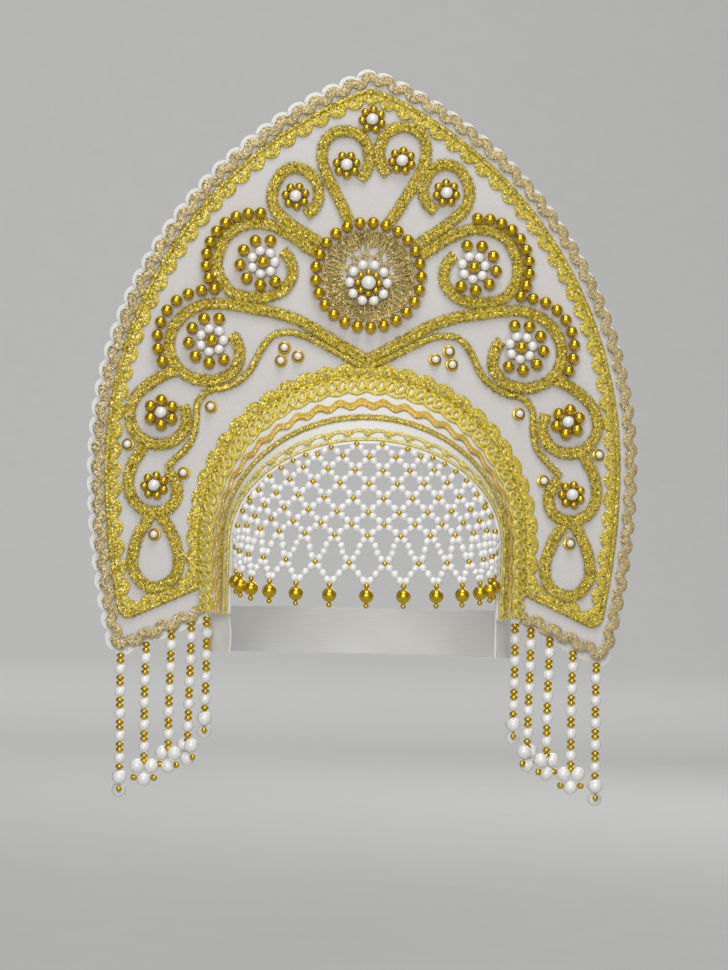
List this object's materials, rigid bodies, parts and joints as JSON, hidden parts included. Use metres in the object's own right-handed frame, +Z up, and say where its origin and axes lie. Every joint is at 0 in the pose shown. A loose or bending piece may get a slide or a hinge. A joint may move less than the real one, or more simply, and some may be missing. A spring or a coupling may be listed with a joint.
{
  "type": "kokoshnik headdress",
  "caption": "Tall pointed-arch festive headdress in white with gold braid scrolls and beaded flowers, a sloping forehead band, a pearl net over the brow and hanging bead strings.",
  "frame": {"origin": "middle of the head opening, level with the lower ends of the forehead band", "axes": "+Z up, -Y to the front, +X to the right seen from the front"},
  "size_m": [0.3072, 0.1511, 0.4122],
  "materials": {
    "white_felt": "pressed white felt over a stiff board",
    "white_edging": "white woven scallop edging",
    "white_satin": "white satin, soft sheen",
    "white_ribbon": "white satin ribbon, soft sheen",
    "champagne_rickrack": "champagne metallic rickrack",
    "gold_braid": "gold tinsel thread braid",
    "lemon_lace": "lemon and white metallic lace",
    "old_gold_lace": "old-gold metallic crochet lace",
    "gold_bead": "gold metallised plastic beads",
    "pearl": "pearl-coated plastic beads"
  },
  "bodies": {
    "root": {"plate": "white_felt", "rim_scallops": "white_edging", "rim_rickrack": "champagne_rickrack", "border_braid": "gold_braid", "arch_braid": "gold_braid", "forehead_band": "white_satin", "arch_lace": "lemon_lace", "brow_lace": "lemon_lace", "heart_left": "gold_braid", "side_scroll_left": "gold_braid", "upper_scroll_left": "gold_braid", "middle_scroll_left": "gold_braid", "lower_scroll_left": "gold_braid", "tail_scroll_left": "gold_braid", "teardrop_left": "gold_braid", "vine_left": "gold_braid", "heart_flower_left": "gold_bead", "side_flower_left": "gold_bead", "lower_flower_left": "gold_bead", "tail_flower_left": "gold_bead", "upper_inner_row_left": "gold_bead", "middle_inner_row_left": "gold_bead", "upper_outer_row_left": "gold_bead", "middle_outer_row_left": "gold_bead", "upper_flower_left": "pearl", "middle_flower_left": "pearl", "heart_right": "gold_braid", "side_scroll_right": "gold_braid", "upper_scroll_right": "gold_braid", "middle_scroll_right": "gold_braid", "lower_scroll_right": "gold_braid", "tail_scroll_right": "gold_braid", "teardrop_right": "gold_braid", "vine_right": "gold_braid", "heart_flower_right": "gold_bead", "side_flower_right": "gold_bead", "lower_flower_right": "gold_bead", "tail_flower_right": "gold_bead", "upper_inner_row_right": "gold_bead", "middle_inner_row_right": "gold_bead", "upper_outer_row_right": "gold_bead", "middle_outer_row_right": "gold_bead", "upper_flower_right": "pearl", "middle_flower_right": "pearl", "top_flower": "gold_bead", "medallion_rosette": "old_gold_lace", "medallion_bead_ring": "gold_bead", "medallion_flower": "pearl", "strand_left_1": "pearl", "strand_left_2": "pearl", "strand_left_3": "pearl", "strand_left_4": "pearl", "strand_left_5": "pearl", "strand_right_1": "pearl", "strand_right_2": "pearl", "strand_right_3": "pearl", "strand_right_4": "pearl", "strand_right_5": "pearl", "pearl_net": "pearl", "back_ribbon": "white_ribbon"}
  },
  "joints": []
}
